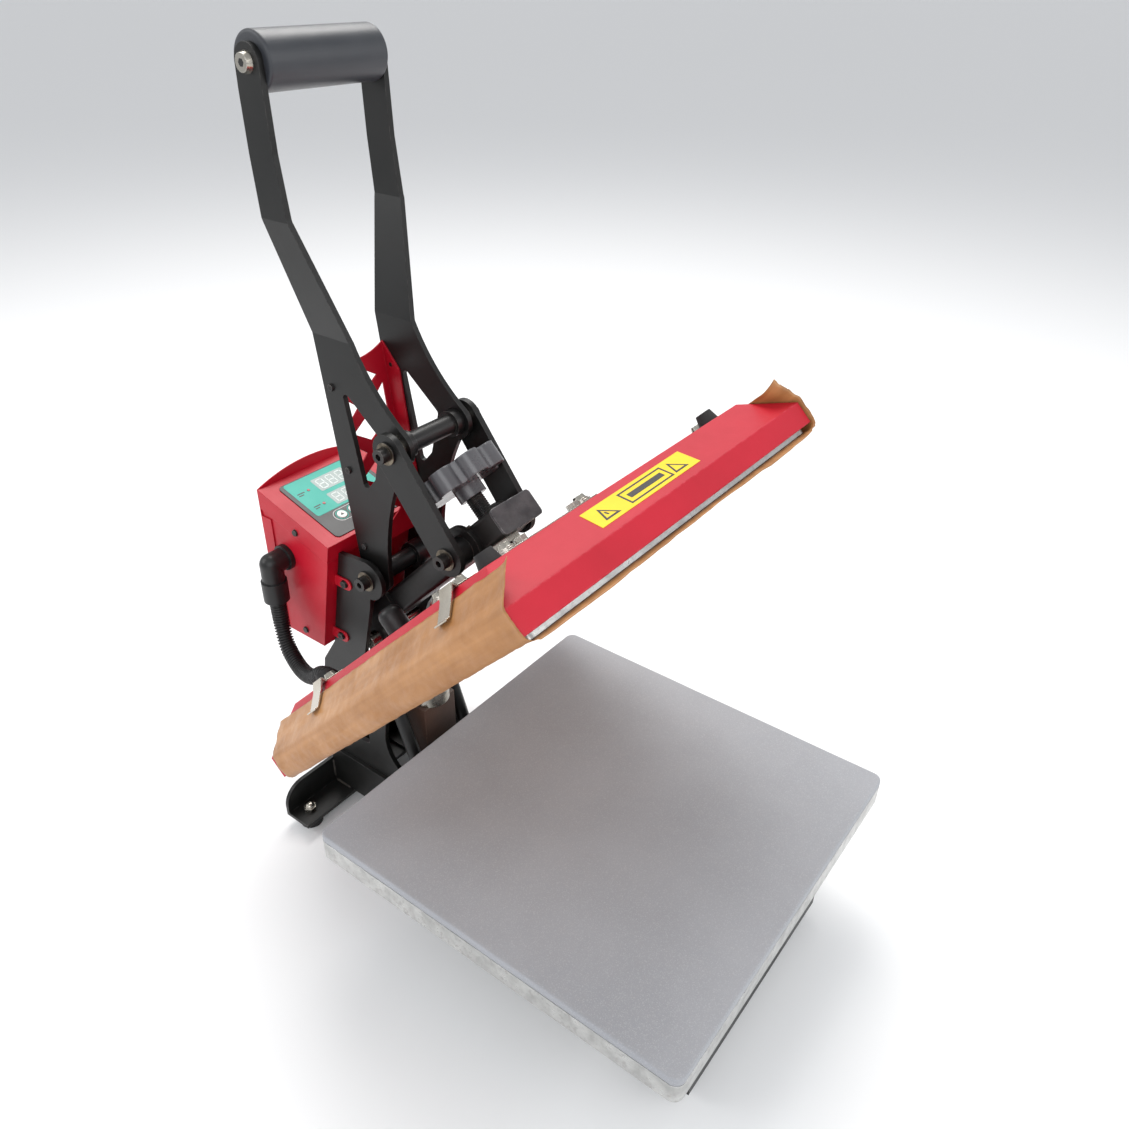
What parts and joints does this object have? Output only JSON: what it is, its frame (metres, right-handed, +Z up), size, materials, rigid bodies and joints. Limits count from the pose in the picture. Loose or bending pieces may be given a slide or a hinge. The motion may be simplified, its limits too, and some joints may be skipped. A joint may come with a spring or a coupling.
{
  "type": "heat press",
  "caption": "clamshell heat press with toggle handle, heated platen on a spring-assisted arm, pressure knob, release sheet, padded lower board and control box",
  "frame": {"origin": "on the table under the middle of the machine's outer box, at the level of the rubber feet's undersides", "axes": "+Z up, +X to the user's right, -Y towards the user who stands at the open front, +Y to the hinge and control box"},
  "size_m": [0.3914, 0.5724, 0.769],
  "materials": {
    "powder_black": "satin powder coat",
    "bracket_steel": "satin",
    "red_sheet": "satin powder coat",
    "zinc_steel": "zinc plated",
    "black_screws": "black oxide",
    "mill_aluminium": "mill",
    "plated_plate": "satin",
    "silicone": "matt speckled",
    "board_white": "fibrous",
    "black_rubber": "matt",
    "black_plastic": "moulded",
    "glossy_dark": "glossy",
    "grey_plastic": "matt",
    "membrane_film": "printed film",
    "white_button": "satin",
    "release_film": "coated glass cloth"
  },
  "bodies": {
    "base": {"side_plate_left": "powder_black", "side_plate_right": "powder_black", "rails": "powder_black", "leg_angles": "powder_black", "rubber_feet": "black_rubber", "foot_bolts": "zinc_steel", "cross_beams": "powder_black", "magnet_bracket": "bracket_steel", "electromagnet": "zinc_steel", "spring_pin_lower": "zinc_steel", "lower_board": "mill_aluminium", "silicone_pad": "silicone", "pivot_screws": "black_screws", "control_box_body": "red_sheet", "control_box_lid": "red_sheet", "control_box_back": "red_sheet", "control_box_screws": "zinc_steel", "membrane_panel": "membrane_film", "controller": "grey_plastic", "power_inlet": "black_plastic", "elbow_gland": "black_plastic", "heater_conduit": "black_plastic"},
    "handle": {"handle_plate_left": "powder_black", "handle_plate_right": "powder_black", "handle_grip": "glossy_dark", "crank_tube": "zinc_steel", "pivot_tube": "zinc_steel", "handle_guard": "red_sheet", "handle_screws": "zinc_steel", "crank_screws": "black_screws"},
    "link": {"link_left": "powder_black", "link_right": "powder_black", "link_screws": "black_screws"},
    "arm": {"arm_tube": "bracket_steel", "arm_end_cap": "grey_plastic", "arm_plates": "bracket_steel", "hinge_sleeve": "bracket_steel", "screw_nut": "zinc_steel", "armature": "zinc_steel", "spring_pin_upper": "zinc_steel"},
    "platen": {"heating_plate": "mill_aluminium", "insulation_board": "board_white", "platen_cover": "red_sheet", "mount_plate": "plated_plate", "platen_screws": "zinc_steel", "cover_bumpers": "black_rubber", "sheet_clips": "zinc_steel", "release_sheet": "release_film", "guide_stud": "zinc_steel", "thermal_cap": "black_rubber", "platen_gland": "black_plastic"},
    "knob": {"star_knob": "glossy_dark", "pressure_screw": "black_screws"},
    "cylinders": {"gas_cylinders": "black_plastic"},
    "rods": {"gas_rods": "plated_plate"},
    "button_a": {"button_1": "white_button"},
    "button_b": {"button_2": "white_button"},
    "button_c": {"button_3": "white_button"},
    "button_d": {"button_4": "white_button"},
    "rocker": {"power_rocker": "black_plastic"}
  },
  "joints": [
    {"name": "arm_hinge", "type": "hinge", "parent": "base", "child": "arm", "pos_m": [0, 0.17035, 0.1524], "axis": [1, 0, 0], "range_deg": [0, 45.69], "stiffness_Nm_per_rad": 20, "springref_deg": -114.59, "deforming": ["heater_conduit"]},
    {"name": "handle_pivot", "type": "hinge", "parent": "base", "child": "handle", "pos_m": [0, 0.15575, 0.3198], "axis": [1, 0, 0], "range_deg": [0, 94.3]},
    {"name": "link_pivot", "type": "hinge", "parent": "handle", "child": "link", "pos_m": [0, 0.11212, 0.46478], "axis": [1, 0, 0], "range_deg": [-125.82, 0]},
    {"name": "spring_pivot", "type": "hinge", "parent": "base", "child": "cylinders", "pos_m": [0, 0.11035, 0.0624], "axis": [1, 0, 0], "range_deg": [0, 19.25]},
    {"name": "spring_rod", "type": "slide", "parent": "cylinders", "child": "rods", "axis": [0, 0.3295, 0.9442], "range_m": [-0.0352, 0]},
    {"name": "platen_lift", "type": "slide", "parent": "arm", "child": "platen", "axis": [0, 0.7156, 0.6985], "range_m": [0, 0.004]},
    {"name": "knob_turn", "type": "hinge", "parent": "platen", "child": "knob", "pos_m": [0, -0.01588, 0.34317], "axis": [0, 0.7156, 0.6985], "range_deg": [0, 720.01]},
    {"name": "press_a", "type": "slide", "parent": "base", "child": "button_a", "axis": [0, 0.299, -0.9542], "range_m": [0, 0.0008], "stiffness_N_per_m": 800},
    {"name": "press_b", "type": "slide", "parent": "base", "child": "button_b", "axis": [0, 0.299, -0.9542], "range_m": [0, 0.0008], "stiffness_N_per_m": 800},
    {"name": "press_c", "type": "slide", "parent": "base", "child": "button_c", "axis": [0, 0.299, -0.9542], "range_m": [0, 0.0008], "stiffness_N_per_m": 800},
    {"name": "press_d", "type": "slide", "parent": "base", "child": "button_d", "axis": [0, 0.299, -0.9542], "range_m": [0, 0.0008], "stiffness_N_per_m": 800},
    {"name": "rocker_tilt", "type": "hinge", "parent": "base", "child": "rocker", "pos_m": [-0.015, 0.28125, 0.2644], "axis": [1, 0, 0], "range_deg": [0, 18]}
  ],
  "couplings": [
    {"joint": "handle_pivot", "follows": "arm_hinge", "ratio": 2.0633},
    {"joint": "link_pivot", "follows": "arm_hinge", "ratio": -2.7532},
    {"joint": "spring_pivot", "follows": "arm_hinge", "ratio": 0.42108},
    {"joint": "spring_rod", "follows": "arm_hinge", "m_per_rad": -0.044128},
    {"joint": "knob_turn", "follows": "platen_lift", "rad_per_m": 3141.6}
  ]
}
